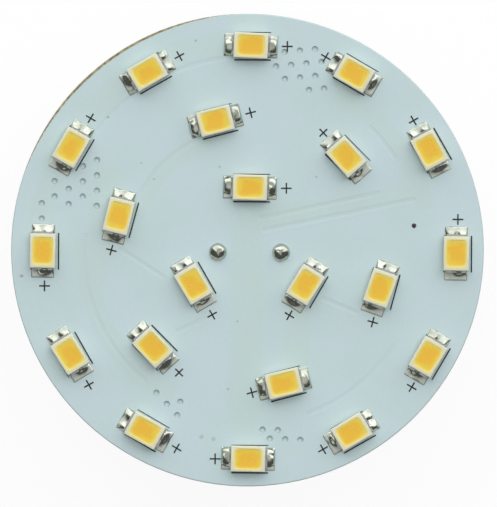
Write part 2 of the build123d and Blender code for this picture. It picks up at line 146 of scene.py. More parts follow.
# Grooves between copper areas on the front, in millimetres and degrees: straight ones by their ends and
# half width, and arcs about the middle by radius, the bearings of their ends and half width.
GROOVE_SOFTNESS = 0.16
STRAIGHT_GROOVES = (
    ((-8.15, 0.12), (-5.49, -1.59), 0.05),
    ((-4.54, -5.07), (-2.58, -4.12), 0.05),
    ((4.70, -2.92), (6.85, -3.80), 0.05),
    ((0.72, 2.15), (8.12, 3.79), 0.05),
    ((0.91, 1.39), (10.4, 3.41), 0.05),
)
ARC_GROOVES = (
    (12.4, 92.0, 150.0, 0.05),
    (7.85, 107.0, 165.0, 0.05),
    (10.5, 174.0, 232.0, 0.05),
    (10.9, 290.0, 328.0, 0.05),
    (11.0, 33.0, 47.0, 0.05),
)
# Wide gaps between copper areas that tint the mask, given in the same way.
GAP_SOFTNESS = 0.35
STRAIGHT_GAPS = (
    ((-0.2, 1.2), (-0.3, -10.5), 0.85),
    ((3.0, -3.4), (3.0, -7.0), 0.6),
    ((-9.0, 4.6), (-9.9, -1.6), 0.6),
    ((0.6, 2.1), (10.2, 3.75), 0.45),
)
ARC_GAPS = (
    (10.35, 176.0, 242.0, 0.5),
    (7.5, 108.0, 163.0, 0.3),
    (11.6, 14.0, 62.0, 0.4),
    (13.4, 92.0, 176.0, 0.6),
)
# Specks and faint marks in the mask: place and radius in millimetres, and strength.
SPECKS = (
    ((10.42, 1.74), 0.2, 1.0),
    ((-9.03, 8.5), 0.1, 0.35),
    ((-3.5, 13.4), 0.1, 0.35),
    ((-1.94, 5.4), 0.11, 0.25),
    ((-6.1, 4.6), 0.1, 0.25),
    ((-6.9, 5.6), 0.09, 0.25),
    ((4.2, 4.8), 0.1, 0.25),
    ((-1.3, -8.7), 0.1, 0.3),
    ((-0.74, -4.4), 0.09, 0.25),
    ((-14.45, -1.61), 0.14, 0.4),
    ((-2.96, -11.74), 0.18, 0.2),
    ((-2.2, -11.87), 0.18, 0.2),
)
# The printed mask sits off the board's outline, so that bare laminate shows along part of the rim.
MASK_MIDDLE = (0.48, -0.65, 0.0)
MASK_EDGE = (15.79, 15.85)
MASK_RAGGED = 0.12
# How much warmer the mask is in clouds and over gaps.
WARM_CLOUD = 0.35
WARM_GAP = 0.42
# Stretch of the laminate's fibres, and how much rougher the laminate is than the mask.
FIBRES = (3.0, 3.0, 14.0)
LAMINATE_ROUGH = 0.35
# Painted shade in a via's dimple by its depth in millimetres: dark below the rim, paler at the bottom.
VIA_RIM = (0.005, 0.03)
VIA_BOTTOM = (0.07, 0.115)

# How square an LED's window is in its shading, where the cup's tint from the resin fades out, where the
# resin gets thin and where it meets the cup: 0 in the window's middle and 1 at its edge.
SQUARENESS = 5.0
CUP_GLOW = (0.96, 1.3)
RESIN_THIN = (0.45, 0.92)
RESIN_EDGE = (0.84, 1.0)
# Solder film is matt below these heights off the board, in millimetres, where it is this level.
FILM_HEIGHT = (0.08, 0.2)
FILM_LEVEL = (0.8, 0.98)
FILM_ROUGH = 0.34
# The diode's pale band along X from the body's end, in millimetres, and the softness of its sides.
BAND = (0.55, 1.1)
BAND_SOFTNESS = 0.05
BAND_MARGIN = 0.1

FLOOR_RADIUS = 1.5
LIGHT_PLACE = (0.02, 0.1, 0.5)
LIGHT_SIZE = 0.5
# Bands of the studio by the height of a direction, 0 level and 1 straight up, and the window's soft sides.
HORIZON = (0.03, 0.09)
WINDOW_SILL = (0.05, 0.15)
WINDOW_TOP = (0.78, 0.92)
CEILING = (0.8, 1.0)
WINDOW_SIDES = (-0.25, 0.15)
CAMERA_SHIFT = (-0.063 * MM, -0.087 * MM)
SENSOR = 36.0


def srgb(red, green, blue):
    """A colour as seen on screen, 0 to 255 a channel, in the linear values that materials use."""
    linear = []
    for value in (red, green, blue):
        part = value / 255.0
        linear.append(part / 12.92 if part <= 0.04045 else ((part + 0.055) / 1.055) ** 2.4)
    return tuple(linear)


def colour(name, description, red, green, blue):
    """A colour that a user may change, with its default given as seen on screen."""
    return FloatVectorProperty(
        name=name, description=description, default=srgb(red, green, blue),
        subtype="COLOR", size=3, min=0.0, max=1.0,
    )


def length(name, description, millimetres, least=0.0):
    """A length that a user may change, with its default given in millimetres."""
    return FloatProperty(
        name=name, description=description, default=millimetres * MM, min=least,
        unit="LENGTH", subtype="DISTANCE", precision=6,
    )


def share(name, description, default):
    """A plain share from 0 to 1 that a user may change."""
    return FloatProperty(
        name=name, description=description, default=default, min=0.0, max=1.0, subtype="FACTOR",
    )


def angle(name, description, degrees):
    """An angle that a user may change, with its default given in degrees."""
    return FloatProperty(
        name=name, description=description, default=math.radians(degrees),
        unit="ROTATION", subtype="ANGLE",
    )


def amount(name, description, default, unit="NONE"):
    """A number of zero or more that a user may change."""
    return FloatProperty(name=name, description=description, default=default, min=0.0, unit=unit)


class BoardLook(bpy.types.PropertyGroup):
    """Colours and relief of the circuit board."""

    mask_cool: colour("Mask, cool", "White solder mask over copper", 189, 208, 212)
    mask_warm: colour("Mask, warm", "White solder mask over bare laminate", 186, 207, 203)
    laminate: colour("Laminate", "Cut edge of the glass laminate", 168, 158, 118)
    laminate_dark: colour("Laminate, dark", "Darker fibres in the cut edge", 104, 96, 74)
    speck: colour("Speck", "Burnt specks in the mask", 46, 44, 42)
    # The via colour is painted shade in the via dimples, darkest just below their rim.
    via: colour("Via", "Mask where it dips into a via", 146, 156, 158)
    groove_depth: length("Groove depth", "How far the mask dips between copper areas", 0.011)
    gloss: share("Roughness", "Roughness of the solder mask", 0.42)


class LedLook(bpy.types.PropertyGroup):
    """Sizes and colours of the LEDs."""

    plastic: colour("Plastic", "White moulded cup", 216, 219, 200)
    glow: colour("Cup near resin", "Cup tinted by the phosphor beside it", 230, 218, 146)
    phosphor_core: colour("Phosphor, middle", "Deep part of the phosphor resin", 231, 182, 58)
    phosphor_edge: colour("Phosphor, edge", "Thin part of the resin at the reflector", 228, 201, 72)
    window_corner: length("Window corner", "Radius of the window's corners", 0.2)
    edge_round: length("Edge round", "Rounding of the cup's outer edges", 0.05)
    resin_dip: length("Resin dip", "How far the resin sinks below its edge", 0.02)


class SolderLook(bpy.types.PropertyGroup):
    """Sizes and colours of the solder joints."""

    bright: colour("Solder", "Fresh bright solder", 202, 207, 196)
    dull: colour("Solder, dull", "Grainy or flux stained solder", 176, 182, 166)
    tinned: colour("Solder film", "Matt film of solder over a pad", 190, 197, 186)
    rise: length("Rise", "Height of a mound of solder above its film", 0.3)
    film: length("Film", "Thickness of the solder film over a pad", 0.08)
    pad_reach: length("Pad reach", "Length of a pad from the LED outwards", 0.61)
    pad_width: length("Pad width", "Width of a pad", 1.46)
    spread: length("Spread", "Reach of a mound to each side", 0.72)
    lump: length("Lumps", "Unevenness of a pin's solder dome", 0.05)
    seed: IntProperty(name="Seed", description="Number that the unevenness starts from", default=7)


class PrintLook(bpy.types.PropertyGroup):
    """Sizes of the black print on the board."""

    ink: colour("Ink", "Black marking ink", 24, 25, 25)
    stroke: length("Stroke", "Width of a printed line", 0.086)
    # Lines on the faint side are printed thinner; the full stroke on the other side is partly painted shade
    # beside the LEDs.
    faint_stroke: length("Faint stroke", "Width of a line on the side where the print came out thin", 0.05)
    side_line: length("Side line", "Length of the line beside an LED", 2.34)
    side_gap: length("Side gap", "Distance between the two lines of an LED", 1.75)
    plus_size: length("Plus size", "Length of the plus mark's strokes", 0.68)
    plus_stroke: length("Plus stroke", "Width of the plus mark's strokes", 0.09)
    plus_place: length("Plus place", "Distance from the LED's middle to the plus mark", 2.2)
    thick: length("Ink thickness", "Height of the ink above the mask", 0.015)
    shift_x: length("Shift X", "How far the print sits off the LEDs in X", 0.11, least=-MM)
    shift_y: length("Shift Y", "How far the print sits off the LEDs in Y", -0.03, least=-MM)
    frame_margin: length("Frame margin", "Distance of a printed frame from a driver part", 0.3)


class DriverLook(bpy.types.PropertyGroup):
    """Colours of the pins and the driver parts."""

    pin: colour("Pins", "Plated plug pins", 201, 199, 194)
    tin: colour("Tinned metal", "Tinned leads and end caps", 196, 197, 196)
    moulding: colour("Moulding", "Black moulded packages", 38, 39, 41)
    band: colour("Polarity band", "Pale band on the diode", 186, 188, 186)
    ferrite: colour("Ferrite", "Inductor core", 62, 59, 57)
    copper: colour("Winding", "Enamelled copper wire", 150, 78, 40)
    capacitor: colour("Capacitor", "Ceramic capacitor body", 176, 142, 104)
    glaze: colour("Resistor glaze", "Dark glaze over the resistor", 30, 31, 34)
    ceramic: colour("Resistor ceramic", "White resistor body", 222, 220, 212)
    wire: length("Wire", "Diameter of the winding's wire", 0.12)


class StageLook(bpy.types.PropertyGroup):
    """Floor, light and camera of the photo stage."""

    floor: colour("Floor", "Pale floor", 250, 250, 250)
    shade: share("Floor shade", "How much of the object's shadow the floor shows", 0.1)
    top_light: amount("Top light", "Power of the wide soft light overhead", 1.085, "POWER")
    horizon: share("Horizon", "Brightness of the world near the horizon", 1.0)
    dim: share("Dim", "Brightness of the studio away from its window", 0.1)
    ceiling: share("Ceiling", "Brightness of the studio straight above the lamp", 0.75)
    window: amount("Window", "Brightness of the studio's wide window", 1.75)
    window_heading: angle("Window heading", "Bearing of the window's middle, clockwise from +Y", 8.0)
    window_half: angle("Window half width", "Bearing from the window's middle to its side", 66.0)
    lens: amount("Lens", "Focal length of the camera in millimetres", 400.0)
    view_height: length("View height", "Height of the picture at the board", 32.17)
    roll: angle("Roll", "Turn of the camera about its own axis", 0.4)


def look(name):
    """One of the scene's property groups."""
    return getattr(bpy.context.scene, name)


def start_clean():
    """Object mode with nothing selected, so that the next operator acts on its own piece only."""
    if bpy.context.object and bpy.context.object.mode != "OBJECT":
        bpy.ops.object.mode_set(mode="OBJECT")
    bpy.ops.object.select_all(action="DESELECT")


def take(piece):
    """Object mode with this piece alone selected and active."""
    start_clean()
    bpy.context.view_layer.objects.active = piece
    piece.select_set(True)


def edit(piece):
    """Edit mode on one piece, with nothing selected."""
    take(piece)
    bpy.ops.object.mode_set(mode="EDIT")
    bpy.ops.mesh.select_all(action="DESELECT")


def done():
    """Back to object mode."""
    bpy.ops.object.mode_set(mode="OBJECT")


def choose(piece, kind, wanted):
    """Selects the wanted ones of the shown points, edges or faces of the piece in edit mode."""
    bpy.ops.mesh.select_all(action="DESELECT")
    bpy.ops.mesh.select_mode(type=kind)
    mesh = bmesh.from_edit_mesh(piece.data)
    for part in {"VERT": mesh.verts, "EDGE": mesh.edges, "FACE": mesh.faces}[kind]:
        if not part.hide and wanted(part):
            part.select_set(True)
    if kind == "VERT":
        mesh.select_flush(True)
    bmesh.update_edit_mesh(piece.data)


def settle(piece):
    """Puts the piece's place, turn and scale into its mesh, so that its object sits at the origin."""
    take(piece)
    bpy.ops.object.transform_apply(location=True, rotation=True, scale=True)


def named(name):
    """The piece that was just added, with its name."""
    piece = bpy.context.object
    piece.name = piece.data.name = name
    return piece


def add_shape(name, add, place=ORIGIN, scale=(1.0, 1.0, 1.0), **settings):
    """Adds a primitive at a place, of this scale, in edit mode and all selected."""
    start_clean()
    add(location=place, **settings)
    piece = named(name)
    piece.scale = scale
    settle(piece)
    edit(piece)
    bpy.ops.mesh.select_all(action="SELECT")
    return piece


def face_outwards(piece):
    """Turns all the piece's faces outwards."""
    edit(piece)
    bpy.ops.mesh.select_all(action="SELECT")
    bpy.ops.mesh.normals_make_consistent(inside=False)
    done()


def apply_modifier(piece, kind, **settings):
    """Adds a modifier with these settings to the piece and applies it."""
    take(piece)
    modifier = piece.modifiers.new(kind.lower(), kind)
    for name, value in settings.items():
        setattr(modifier, name, value)
    bpy.ops.object.modifier_apply(modifier=modifier.name)


def copy_of(piece, name):
    """A copy of the piece with its own mesh."""
    take(piece)
    bpy.ops.object.duplicate(linked=False)
    return named(name)


def discard(piece):
    """Removes a pattern piece once its copies are made."""
    mesh = piece.data
    bpy.data.objects.remove(piece)
    bpy.data.meshes.remove(mesh)


def join_as(pieces, name):
    """Joins the pieces into one of this name."""
    start_clean()
    for piece in pieces:
        piece.select_set(True)
    bpy.context.view_layer.objects.active = pieces[0]
    bpy.ops.object.join()
    joined = named(name)
    settle(joined)
    return joined


def smooth(piece, degrees):
    """Shades the piece smooth, apart from edges sharper than this."""
    take(piece)
    bpy.ops.object.shade_smooth_by_angle(angle=math.radians(degrees))


def finish_piece(piece, material, slot, *nodes):
    """Gives the piece its finish, hangs it on the body and hides the solids that it stands for."""
    piece.data.materials.clear()
    piece.data.materials.append(material)
    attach(piece, BODY)
    if nodes:
        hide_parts(*nodes)


def paint_nodes(material, *names):
    """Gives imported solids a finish."""
    for name in names:
        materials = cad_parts[name].data.materials
        materials.clear()
        materials.append(material)


def node_points(name):
    """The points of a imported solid."""
    return [point.co.copy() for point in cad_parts[name].data.vertices]


def led_places():
    """Name, middle, turn, tangent and plus side of each LED, read from its packed cup."""
    places = []
    for ring, sides in PLUS_SIDES.items():
        for number, side in enumerate(sides, 1):
            name = f"led_{ring}_{number:02d}"
            low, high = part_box(f"{name}_cup")
            middle = Vector(((low[0] + high[0]) / 2, (low[1] + high[1]) / 2, 0.0))
            spread = twist = 0.0
            for point in node_points(f"{name}_cup"):
                across, along = point.x - middle.x, point.y - middle.y
                spread += across * across - along * along
                twist += 2 * across * along
            turn = 0.5 * math.atan2(twist, spread)
            tangent = math.atan2(middle.y, middle.x) + math.pi / 2
            turn += math.pi * round((tangent - turn) / math.pi)
            places.append({
                "name": name, "middle": middle, "turn": turn, "tangent": tangent,
                "plus": 1 if side == "+" else -1,
            })
    return places


def seated(place):
    """Where an LED's own frame lies: X along the LED, Z up, on the board's underside plane."""
    return Matrix.Translation(place["middle"]) @ Matrix.Rotation(place["turn"], 4, "Z")


def local_reach(node, place, level=None):
    """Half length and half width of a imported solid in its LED's frame, at its top, floor or overall."""
    points = [seated(place).inverted() @ point for point in node_points(node)]
    if level is not None:
        wanted = level(point.z for point in points)
        points = [point for point in points if abs(point.z - wanted) < SAME_LEVEL]
    return max(abs(point.x) for point in points), max(abs(point.y) for point in points)


class Net:
    """Adds nodes to a tree. Most methods give the socket of their result."""

    def __init__(self, tree):
        self.tree = tree

    def put(self, socket, value):
        """Links a socket to another one, or sets its value."""
        if isinstance(value, bpy.types.NodeSocket):
            self.tree.links.new(value, socket)
        elif isinstance(socket, bpy.types.NodeSocketColor):
            socket.default_value = (*value[:3], 1.0)
        else:
            socket.default_value = value

    def add(self, kind, inputs=None, **settings):
        """Adds a node, sets its properties, and sets or links its inputs."""
        node = self.tree.nodes.new(kind)
        for name, value in settings.items():
            setattr(node, name, value)
        for name, value in (inputs or {}).items():
            self.put(node.inputs[name], value)
        return node

    def math(self, operation, *values, clamp=False):
        """The result of a Math node."""
        inputs = dict(enumerate(values))
        return self.add("ShaderNodeMath", inputs, operation=operation, use_clamp=clamp).outputs[0]

    def plus(self, first, second):
        """The sum of two values."""
        return self.math("ADD", first, second)

    def minus(self, first, second):
        """The first value less the second."""
        return self.math("SUBTRACT", first, second)

    def times(self, first, *others):
        """The product of all values."""
        for other in others:
            first = self.math("MULTIPLY", first, other)
        return first

    def strongest(self, first, *others):
        """The strongest of several masks."""
        for other in others:
            first = self.math("MAXIMUM", first, other)
        return first

    def vector(self, operation, *values):
        """The result of a Vector Math node."""
        node = self.add("ShaderNodeVectorMath", dict(enumerate(values)), operation=operation)
        return node.outputs["Value" if operation in ("DOT_PRODUCT", "DISTANCE", "LENGTH") else "Vector"]

    def stretch(self, vector, factors):
        """A vector with each of its parts multiplied."""
        return self.vector("MULTIPLY", vector, factors)

    def part(self, vector, axis):
        """One of a vector's three parts."""
        return self.add("ShaderNodeSeparateXYZ", {0: vector}).outputs[axis]

    def fade(self, value, start, end, low=0.0, high=1.0):
        """Goes smoothly from low to high as the value goes from start to end."""
        inputs = {"Value": value, "From Min": start, "From Max": end, "To Min": low, "To Max": high}
        return self.add("ShaderNodeMapRange", inputs, interpolation_type="SMOOTHSTEP").outputs["Result"]

    def fade_out(self, value, start, end, high=1.0, low=0.0):
        """Goes smoothly from high to low as the value goes from start to end."""
        return self.fade(value, start, end, high, low)

    def spread(self, value, low, high):
        """Goes straight from low to high as the value goes from 0 to 1."""
        inputs = {"Value": value, "To Min": low, "To Max": high}
        return self.add("ShaderNodeMapRange", inputs).outputs["Result"]

    def blend(self, amount, first, second):
        """Goes from the first colour to the second by an amount from 0 to 1."""
        return self.add("ShaderNodeMix", {0: amount, 6: first, 7: second}, data_type="RGBA").outputs[2]

    def tint(self, skin, mask, most, red, green, blue):
        """Goes from a colour towards one given as seen on screen, by this much where the mask is full."""
        return self.blend(self.times(mask, most), skin, srgb(red, green, blue))

    def noise(self, vector, scale, detail=2.0, roughness=0.5, distortion=0.0):
        """A soft noise from 0 to 1."""
        inputs = {
            "Vector": vector, "Scale": scale, "Detail": detail, "Roughness": roughness,
            "Distortion": distortion,
        }
        return self.add("ShaderNodeTexNoise", inputs).outputs[0]

    def raised(self, height, depth):
        """A normal from a height of 0 to 1 that stands this deep, in metres."""
        inputs = {"Height": height, "Strength": 1.0, "Distance": depth}
        return self.add("ShaderNodeBump", inputs).outputs["Normal"]

    def group(self, name, **inputs):
        """The outputs of a shared node group, which is built the first time that it is used."""
        shared = bpy.data.node_groups.get(name) or build_group(name)
        node = self.add("ShaderNodeGroup", node_tree=shared)
        for socket, value in inputs.items():
            self.put(node.inputs[socket.replace("_", " ")], value)
        return node.outputs


def line_mask(net, given):
    """Mask of a straight stroke with soft sides, in millimetres."""
    from_start = net.vector("SUBTRACT", given["Place"], given["Start"])
    run = net.vector("SUBTRACT", given["End"], given["Start"])
    along = net.vector("DOT_PRODUCT", from_start, run)
    share_of_run = net.math("DIVIDE", along, net.vector("DOT_PRODUCT", run, run), clamp=True)
    nearest = net.add("ShaderNodeVectorMath", {0: run, "Scale": share_of_run}, operation="SCALE")
    away = net.vector("DISTANCE", from_start, nearest.outputs[0])
    edge = net.plus(given["Half Width"], given["Softness"])
    return {"Mask": net.fade_out(away, given["Half Width"], edge)}


def arc_mask(net, given):
    """Mask of a stroke along a circle about the origin with soft sides, in millimetres."""
    radius = net.vector("LENGTH", given["Place"])
    away = net.math("ABSOLUTE", net.minus(radius, given["Radius"]))
    edge = net.plus(given["Half Width"], given["Softness"])
    band = net.fade_out(away, given["Half Width"], edge)
    heading = net.vector("NORMALIZE", given["Place"])
    cosine = net.vector("DOT_PRODUCT", heading, given["Middle"])
    return {"Mask": net.times(band, net.math("GREATER_THAN", cosine, given["End Cosine"]))}


def spot_mask(net, given):
    """Mask of a round spot with an uneven edge, in millimetres."""
    away = net.vector("DISTANCE", given["Place"], given["Middle"])
    ragged = net.plus(net.times(net.noise(given["Place"], 9.0), 0.9), 0.55)
    reach = net.times(given["Radius"], ragged)
    return {"Mask": net.fade_out(away, net.times(reach, 0.5), reach)}


def grain_masks(net, given):
    """Fine grain and slow clouding of a moulded or coated surface, over millimetres."""
    fine = net.noise(given["Place"], given["Grain Scale"], detail=3.0, roughness=0.6)
    slow = net.noise(given["Place"], given["Cloud Scale"])
    return {"Grain": net.fade(fine, 0.3, 0.7), "Cloud": net.fade(slow, 0.32, 0.68)}


def bloom_masks(net, given):
    """Dull patches and small pits on bare metal, over millimetres."""
    patch = net.noise(given["Place"], given["Patch Scale"], detail=4.0, roughness=0.6, distortion=0.4)
    pits = net.noise(given["Place"], given["Pit Scale"])
    return {"Dull": net.fade(patch, 0.42, 0.66), "Pits": net.fade(pits, 0.35, 0.6)}


# Each shared node group with what builds it, its vector inputs and its number inputs.
GROUPS = {
    "Line mask": (line_mask, ("Place", "Start", "End"), ("Half Width", "Softness")),
    "Arc mask": (arc_mask, ("Place", "Middle"), ("Radius", "End Cosine", "Half Width", "Softness")),
    "Spot mask": (spot_mask, ("Place", "Middle"), ("Radius",)),
    "Grain": (grain_masks, ("Place",), ("Grain Scale", "Cloud Scale")),
    "Metal bloom": (bloom_masks, ("Place",), ("Patch Scale", "Pit Scale")),
}


def build_group(name):
    """Builds one of the shared node groups."""
    build, vectors, numbers = GROUPS[name]
    tree = bpy.data.node_groups.new(name, "ShaderNodeTree")
    for kind, sockets in (("NodeSocketVector", vectors), ("NodeSocketFloat", numbers)):
        for socket in sockets:
            tree.interface.new_socket(name=socket, in_out="INPUT", socket_type=kind)
    net = Net(tree)
    masks = build(net, net.add("NodeGroupInput").outputs)
    for mask in masks:
        tree.interface.new_socket(name=mask, in_out="OUTPUT", socket_type="NodeSocketFloat")
    net.add("NodeGroupOutput", masks)
    return tree


class Finish(Net):
    """A material with a Principled shader, and places on its piece in millimetres."""

    def __init__(self, name):
        self.material = bpy.data.materials.new(name)
        self.material.use_nodes = True
        super().__init__(self.material.node_tree)
        self.shader = next(node for node in self.tree.nodes if node.type == "BSDF_PRINCIPLED")
        self.where = self.add("ShaderNodeTexCoord").outputs
        self.place = self.stretch(self.where["Object"], (1.0 / MM, 1.0 / MM, 1.0 / MM))

    def facing(self):
        """How far the surface looks up: 1 straight up, -1 straight down."""
        return self.part(self.where["Normal"], "Z")

    def off_board(self):
        """How far a place stands off the board's nearer face, in millimetres, or below zero inside it."""
        low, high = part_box("board")
        half = (high[2] - low[2]) / 2 / MM
        middle = (high[2] + low[2]) / 2 / MM
        return self.minus(self.math("ABSOLUTE", self.minus(self.part(self.place, "Z"), middle)), half)

    def grain(self, fine, slow):
        """Masks of grain and clouding, at these scales per millimetre."""
        return self.group("Grain", Place=self.place, Grain_Scale=fine, Cloud_Scale=slow)

    def bloom(self, patches, pits):
        """Masks of dull patches and pits, at these scales per millimetre."""
        return self.group("Metal bloom", Place=self.place, Patch_Scale=patches, Pit_Scale=pits)

    def made(self, skin, rough, height, depth, **inputs):
        """The material, with its colour, roughness, relief of this depth in metres and other inputs."""
        inputs.update(Base_Color=skin, Roughness=rough, Normal=self.raised(height, depth))
        for name, value in inputs.items():
            self.put(self.shader.inputs[name.replace("_", " ")], value)
        return self.material


def strokes(net, flat, lines, arcs, softness):
    """Mask of straight strokes, and of arcs about the board's middle."""
    masks = []
    for start, end, half_width in lines:
        masks.append(net.group(
            "Line mask", Place=flat, Start=(*start, 0.0), End=(*end, 0.0),
            Half_Width=half_width, Softness=softness,
        )["Mask"])
    for radius, first, last, half_width in arcs:
        middle = math.radians((first + last) / 2)
        masks.append(net.group(
            "Arc mask", Place=flat, Radius=radius, Middle=(math.cos(middle), math.sin(middle), 0.0),
            End_Cosine=math.cos(math.radians((last - first) / 2)),
            Half_Width=half_width, Softness=softness,
        )["Mask"])
    return net.strongest(*masks)


def solder_mask_finish(board):
    """White solder mask over copper relief, bare laminate at the cut edge, and burnt specks."""
    net = Finish("Solder mask")
    flat = net.stretch(net.place, (1.0, 1.0, 0.0))
    facing = net.facing()
    front = net.fade(facing, *FRONT_FACES)
    level = net.fade(net.math("ABSOLUTE", facing), *LEVEL_FACES)

    groove = net.times(strokes(net, flat, STRAIGHT_GROOVES, ARC_GROOVES, GROOVE_SOFTNESS), front)
    gap = net.times(strokes(net, flat, STRAIGHT_GAPS, ARC_GAPS, GAP_SOFTNESS), front)
    spots = []
    for middle, radius, strength in SPECKS:
        spot = net.group("Spot mask", Place=flat, Middle=(*middle, 0.0), Radius=radius)
        spots.append(net.times(spot["Mask"], strength))
    speck = net.times(net.strongest(*spots), front)
    # Painted shade in the via dimples: the via colour, darkest just below the rim and paler at the bottom.
    sunk = net.times(net.off_board(), -1.0)
    via = net.times(net.fade(sunk, *VIA_RIM, high=0.55), net.fade_out(sunk, *VIA_BOTTOM, low=0.1))

    grain = net.grain(7.0, 0.33)
    warmth = net.plus(net.times(grain["Cloud"], WARM_CLOUD), net.times(gap, WARM_GAP))
    mask = net.blend(warmth, board.mask_cool, board.mask_warm)
    mask = net.tint(mask, groove, 0.05, 150, 168, 168)
    mask = net.tint(mask, grain["Grain"], 0.06, 225, 236, 236)
    mask = net.blend(via, mask, board.via)
    mask = net.blend(speck, mask, board.speck)

    fibre = net.noise(net.stretch(net.place, FIBRES), 1.0, detail=4.0, roughness=0.7)
    laminate = net.blend(net.fade(fibre, 0.35, 0.7), board.laminate, board.laminate_dark)
    reach = net.vector("LENGTH", net.vector("SUBTRACT", flat, MASK_MIDDLE))
    ragged = net.minus(net.noise(flat, 5.0, detail=4.0, roughness=0.7), 0.5)
    printed = net.fade_out(net.plus(reach, net.times(ragged, MASK_RAGGED)), *MASK_EDGE)
    covered = net.times(printed, level)
    skin = net.blend(covered, laminate, mask)

    clouded = net.spread(grain["Cloud"], board.gloss - 0.04, board.gloss + 0.06)
    rough = net.plus(clouded, net.times(net.minus(1.0, covered), LAMINATE_ROUGH))
    relief = net.minus(net.times(grain["Grain"], 0.1), groove)
    return net.made(skin, rough, relief, board.groove_depth, Specular_IOR_Level=0.4)


def window_distance(net):
    """How far a place lies from the middle of its LED's window: 0 there, 1 at the window's edge."""
    window = net.add("ShaderNodeUVMap", uv_map="window").outputs["UV"]
    sides = []
    for axis in ("X", "Y"):
        off = net.math("ABSOLUTE", net.minus(net.part(window, axis), 0.5))
        sides.append(net.math("POWER", net.times(off, 2.0), SQUARENESS))
    return net.math("POWER", net.plus(*sides), 1.0 / SQUARENESS)


def led_plastic_finish(led):
    """White moulded plastic that takes a little yellow from the phosphor beside it."""
    net = Finish("LED plastic")
    grain = net.grain(26.0, 1.1)
    skin = net.blend(net.fade_out(window_distance(net), *CUP_GLOW, high=0.9), led.plastic, led.glow)
    skin = net.tint(skin, grain["Cloud"], 0.25, 214, 220, 212)
    rough = net.spread(grain["Cloud"], 0.42, 0.55)
    return net.made(skin, rough, grain["Grain"], 0.004 * MM, Specular_IOR_Level=0.45)


def phosphor_finish(led):
    """Silicone resin full of phosphor: orange where it is deep, yellow at the edge."""
    net = Finish("Phosphor resin")
    away = window_distance(net)
    grain = net.grain(14.0, 1.3)
    wander = net.spread(grain["Cloud"], -0.16, 0.16)
    skin = net.blend(net.fade(net.plus(away, wander), *RESIN_THIN), led.phosphor_core, led.phosphor_edge)
    skin = net.blend(net.fade(away, *RESIN_EDGE, high=0.85), skin, led.glow)
    skin = net.tint(skin, grain["Grain"], 0.18, 240, 206, 70)
    rough = net.spread(grain["Grain"], 0.38, 0.5)
    return net.made(skin, rough, grain["Grain"], 0.006 * MM, Specular_IOR_Level=0.35)


def ink_finish(marks):
    """Black marking ink with a slightly uneven film."""
    net = Finish("Marking ink")
    grain = net.grain(9.0, 1.6)
    skin = net.tint(marks.ink, grain["Grain"], 0.3, 62, 66, 66)
    return net.made(skin, net.spread(grain["Cloud"], 0.5, 0.65), grain["Grain"], 0.004 * MM)


def solder_finish(solder):
    """Bright solder on the mounds and matt tinned film round them, with dull patches here and there."""
    net = Finish("Bright solder")
    bloom = net.bloom(1.7, 8.0)
    low = net.fade_out(net.off_board(), *FILM_HEIGHT)
    film = net.times(low, net.fade(net.math("ABSOLUTE", net.facing()), *FILM_LEVEL))
    skin = net.blend(bloom["Dull"], solder.bright, solder.dull)
    skin = net.blend(film, skin, solder.tinned)
    rough = net.plus(net.spread(bloom["Dull"], 0.14, 0.26), net.times(film, FILM_ROUGH))
    return net.made(skin, rough, bloom["Pits"], 0.0008 * MM, Metallic=net.spread(film, 1.0, 0.1))


def tin_finish(driver):
    """Matt tinned metal."""
    net = Finish("Tinned metal")
    bloom = net.bloom(3.0, 30.0)
    skin = net.tint(driver.tin, bloom["Dull"], 1.0, 180, 181, 178)
    return net.made(skin, net.spread(bloom["Dull"], 0.34, 0.42), bloom["Pits"], 0.001 * MM, Metallic=1.0)


def pin_finish(driver):
    """Plated pin with fine drawing lines along it and dull patches from handling."""
    net = Finish("Plated pin")
    bloom = net.bloom(0.9, 20.0)
    lines = net.noise(net.stretch(net.place, (26.0, 26.0, 0.7)), 1.0)
    skin = net.tint(driver.pin, bloom["Dull"], 1.0, 190, 187, 179)
    rough = net.plus(net.spread(bloom["Dull"], 0.22, 0.28), net.times(lines, 0.06))
    return net.made(skin, rough, lines, 0.0008 * MM, Metallic=1.0)


def diode_band(net):
    """Mask of the pale band across the diode's outer face."""
    low, high = (Vector(corner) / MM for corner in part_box("flyback_diode"))
    start, end = (low.x + edge for edge in BAND)
    across, along = net.part(net.place, "X"), net.part(net.place, "Y")
    return net.times(
        net.fade(across, start, start + BAND_SOFTNESS),
        net.fade_out(across, end, end + BAND_SOFTNESS),
        net.fade(along, low.y - BAND_MARGIN, low.y),
        net.fade_out(along, high.y, high.y + BAND_MARGIN),
        net.fade_out(net.facing(), -0.95, -0.8),
    )


def moulding_finish(driver):
    """Black moulding compound with a fine spark eroded grain and a pale band across the diode."""
    net = Finish("Black moulding")
    grain = net.grain(16.0, 0.8)
    skin = net.tint(driver.moulding, grain["Cloud"], 0.5, 52, 53, 55)
    skin = net.tint(skin, grain["Grain"], 0.2, 70, 71, 73)
    skin = net.blend(diode_band(net), skin, driver.band)
    return net.made(skin, net.spread(grain["Cloud"], 0.5, 0.65), grain["Grain"], 0.012 * MM)


def ferrite_finish(driver):
    """Pressed ferrite: matt dark grey with open grain."""
    net = Finish("Pressed ferrite")
    grain = net.grain(11.0, 0.9)
    skin = net.tint(driver.ferrite, grain["Grain"], 1.0, 86, 82, 78)
    return net.made(skin, net.spread(grain["Cloud"], 0.6, 0.8), grain["Grain"], 0.015 * MM)


